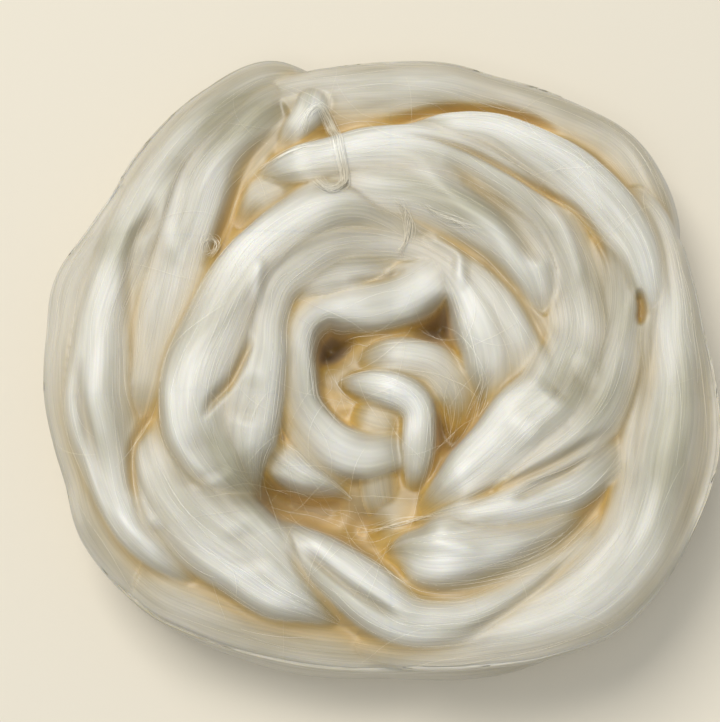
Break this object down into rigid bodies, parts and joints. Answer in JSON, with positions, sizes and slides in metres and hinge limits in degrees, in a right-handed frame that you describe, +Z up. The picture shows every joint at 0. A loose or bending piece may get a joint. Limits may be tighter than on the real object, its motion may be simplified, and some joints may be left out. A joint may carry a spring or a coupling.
{
  "type": "raw silk fibre",
  "caption": "Loose flat coil of cream combed silk sliver, wound by hand in a spiral round an open eye, for spinning, felting or stuffing.",
  "frame": {"origin": "centre of the coil's box, on the surface it rests on", "axes": "+Z up out of the resting surface, +X across the coil's longest side, +Y from the near side to the far side of the pictured coil"},
  "size_m": [0.2615, 0.2477, 0.0573],
  "materials": {
    "silk": "satin"
  },
  "bodies": {
    "root": {"silk_coil": "silk"}
  },
  "joints": []
}
